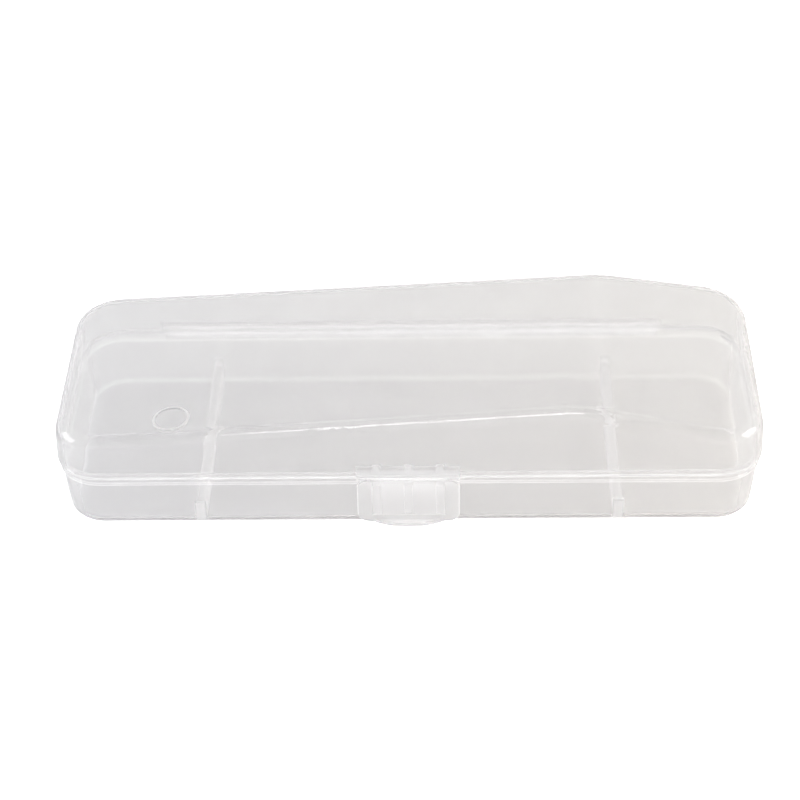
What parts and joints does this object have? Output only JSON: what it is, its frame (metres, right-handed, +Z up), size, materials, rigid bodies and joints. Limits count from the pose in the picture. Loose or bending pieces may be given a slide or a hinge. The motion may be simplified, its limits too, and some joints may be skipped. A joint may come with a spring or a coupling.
{
  "type": "pencil case",
  "caption": "Slim hinged pencil case in frosted translucent plastic, with a low compartment tray, a wave-topped lid, a folding rear strip and a front snap latch flap.",
  "frame": {"origin": "centre of the tray's flat underside", "axes": "+X along the case's length, towards the end with the wave's crest; +Y towards the rear hinge; +Z up"},
  "size_m": [0.2, 0.0747, 0.0404],
  "materials": {
    "tray_plastic": "frosted translucent polypropylene, satin, natural colour",
    "lid_plastic": "frosted translucent polypropylene, satin outside, fine matt texture inside",
    "hinge_plastic": "thin stretched polypropylene, glossier than the walls",
    "latch_plastic": "frosted translucent polypropylene, satin, slightly milkier where ribs double the thickness"
  },
  "bodies": {
    "base": {"base_tray": "tray_plastic", "divider_left": "tray_plastic", "divider_right": "tray_plastic", "latch_catch": "tray_plastic", "lower_hinge_web": "hinge_plastic"},
    "rear_strip": {"rear_hinge_strip": "hinge_plastic"},
    "lid": {"lid": "lid_plastic", "lid_ring": "lid_plastic", "latch_gussets": "lid_plastic", "upper_hinge_web": "hinge_plastic", "latch_hinge_web": "hinge_plastic"},
    "latch": {"latch_flap": "latch_plastic", "latch_ribs": "latch_plastic", "latch_snap_bead": "latch_plastic"}
  },
  "joints": [
    {"name": "strip_hinge", "type": "hinge", "parent": "base", "child": "rear_strip", "pos_m": [0, 0.03565, 0.01685], "axis": [-1, 0, 0], "range_deg": [0, 76], "deforming": ["lower_hinge_web"]},
    {"name": "lid_hinge", "type": "hinge", "parent": "rear_strip", "child": "lid", "pos_m": [0, 0.03565, 0.01875], "axis": [-1, 0, 0], "range_deg": [0, 76], "deforming": ["upper_hinge_web"]},
    {"name": "latch_hinge", "type": "hinge", "parent": "lid", "child": "latch", "pos_m": [0, -0.0363, 0.0195], "axis": [-1, 0, 0], "range_deg": [0, 90], "deforming": ["latch_hinge_web", "latch_snap_bead"]}
  ],
  "couplings": [
    {"joint": "strip_hinge", "follows": "lid_hinge", "ratio": 1}
  ]
}
